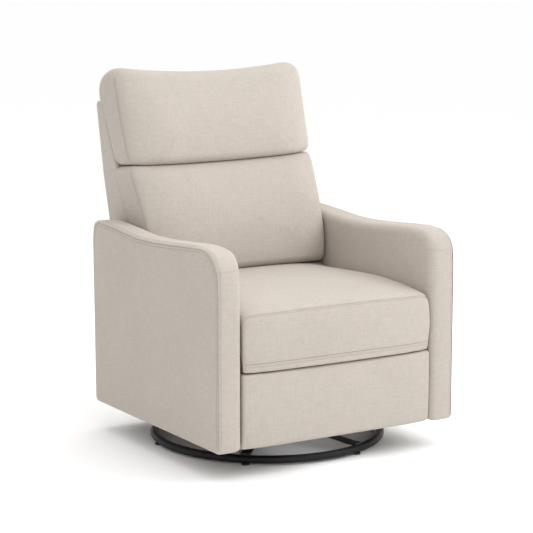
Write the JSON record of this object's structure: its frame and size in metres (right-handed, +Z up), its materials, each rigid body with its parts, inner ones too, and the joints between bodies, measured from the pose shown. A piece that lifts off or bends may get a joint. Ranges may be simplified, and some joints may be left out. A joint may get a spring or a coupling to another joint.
{
  "type": "swivel glider recliner chair",
  "caption": "Upholstered nursery armchair that swivels, glides and reclines on a black steel ring base, with a fold-out footrest under the seat.",
  "frame": {"origin": "on the floor, under the centre of the overall box with the back upright and the footrest closed", "axes": "+Z up, the chair faces -Y, +X is the sitter's left"},
  "size_m": [0.74, 0.8336, 1.0175],
  "materials": {
    "upholstery": "light oatmeal woven polyester over foam",
    "timber": "sawn hardwood and plywood, hidden",
    "glide_plastic": "moulded black plastic",
    "black_steel": "satin black powder coat",
    "spring_steel": "bare bright steel",
    "mechanism_steel": "dark zinc and black paint"
  },
  "bodies": {
    "base": {"base_ring": "black_steel", "base_glides": "glide_plastic", "base_spokes": "black_steel", "hub_plate": "black_steel", "lower_race": "spring_steel", "bearing_balls": "spring_steel", "king_bolt": "black_steel"},
    "swivel_frame": {"upper_race": "spring_steel", "swivel_top_plate": "black_steel", "glide_cross_tube_front": "black_steel", "glide_cross_tube_rear": "black_steel", "glide_posts": "black_steel", "glide_upper_pins": "mechanism_steel"},
    "front_swing_links": {"swing_links_front": "mechanism_steel"},
    "rear_swing_links": {"swing_links_rear": "mechanism_steel"},
    "chair": {"glide_lower_pins": "mechanism_steel", "carriage_plates": "mechanism_steel", "carriage_cross_rail_front": "mechanism_steel", "carriage_cross_rail_rear": "mechanism_steel", "seat_side_rail_left": "timber", "seat_side_rail_right": "timber", "seat_rail_front": "timber", "seat_rail_rear": "timber", "seat_springs": "spring_steel", "seat_cushion": "upholstery", "arm_pad_left": "upholstery", "arm_pad_right": "upholstery", "arm_frame_left": "timber", "arm_frame_right": "timber", "arm_spacers": "timber", "arm_bolts": "mechanism_steel", "rear_rail": "timber", "rear_lower_panel": "upholstery", "footrest_mount_plates": "mechanism_steel", "footrest_pivot_pins": "mechanism_steel", "back_hinge_plates": "mechanism_steel", "back_pivot_bolts": "mechanism_steel"},
    "footrest_rear_arms": {"footrest_rear_links": "mechanism_steel", "footrest_torque_tube": "mechanism_steel", "footrest_rear_rivets": "mechanism_steel"},
    "footrest_front_arms": {"footrest_front_links": "mechanism_steel"},
    "footrest_lower_couplers": {"footrest_lower_links": "mechanism_steel", "footrest_lower_rivets": "mechanism_steel"},
    "footrest_upper_couplers": {"footrest_upper_links": "mechanism_steel", "footrest_upper_rivets": "mechanism_steel"},
    "footrest": {"footrest_brackets": "mechanism_steel", "footrest_board": "timber", "footrest_pad": "upholstery", "footrest_screws": "mechanism_steel"},
    "back": {"back_stiles": "timber", "back_brackets": "mechanism_steel", "back_rail_bottom": "timber", "back_rail_middle": "timber", "back_rail_top": "timber", "back_springs": "spring_steel", "back_shell": "upholstery", "lumbar_cushion": "upholstery", "head_cushion": "upholstery"}
  },
  "joints": [
    {"name": "swivel", "type": "hinge", "parent": "base", "child": "swivel_frame", "pos_m": [0, -0.044, 0], "axis": [0, 0, 1], "continuous": true},
    {"name": "glide", "type": "hinge", "parent": "swivel_frame", "child": "front_swing_links", "pos_m": [0, -0.154, 0.198], "axis": [-1, 0, 0], "range_deg": [-22, 22]},
    {"name": "rear_link_swing", "type": "hinge", "parent": "swivel_frame", "child": "rear_swing_links", "pos_m": [0, 0.066, 0.198], "axis": [-1, 0, 0], "range_deg": [-22, 22]},
    {"name": "chair_level", "type": "hinge", "parent": "front_swing_links", "child": "chair", "pos_m": [0, -0.154, 0.088], "axis": [-1, 0, 0], "range_deg": [-22, 22]},
    {"name": "footrest", "type": "hinge", "parent": "chair", "child": "footrest_rear_arms", "pos_m": [0, -0.113, 0.262], "axis": [-1, 0, 0], "range_deg": [0, 95]},
    {"name": "footrest_front_arm", "type": "hinge", "parent": "chair", "child": "footrest_front_arms", "pos_m": [0, -0.203, 0.262], "axis": [-1, 0, 0], "range_deg": [0, 95]},
    {"name": "footrest_lower_coupler", "type": "hinge", "parent": "footrest_rear_arms", "child": "footrest_lower_couplers", "pos_m": [0, 0.00171, 0.09817], "axis": [-1, 0, 0], "range_deg": [-95, 0]},
    {"name": "footrest_upper_coupler", "type": "hinge", "parent": "footrest_front_arms", "child": "footrest_upper_couplers", "pos_m": [0, -0.11696, 0.13913], "axis": [-1, 0, 0], "range_deg": [-95, 0]},
    {"name": "footrest_turn", "type": "hinge", "parent": "footrest_lower_couplers", "child": "footrest", "pos_m": [0, -0.2886, 0.21522], "axis": [-1, 0, 0], "range_deg": [0, 95]},
    {"name": "recline", "type": "hinge", "parent": "chair", "child": "back", "pos_m": [0, 0.172, 0.395], "axis": [-1, 0, 0], "range_deg": [0, 35]}
  ],
  "couplings": [
    {"joint": "rear_link_swing", "follows": "glide", "ratio": 1},
    {"joint": "chair_level", "follows": "glide", "ratio": -1},
    {"joint": "footrest_front_arm", "follows": "footrest", "ratio": 1},
    {"joint": "footrest_lower_coupler", "follows": "footrest", "ratio": -1},
    {"joint": "footrest_upper_coupler", "follows": "footrest", "ratio": -1},
    {"joint": "footrest_turn", "follows": "footrest", "ratio": 1}
  ]
}
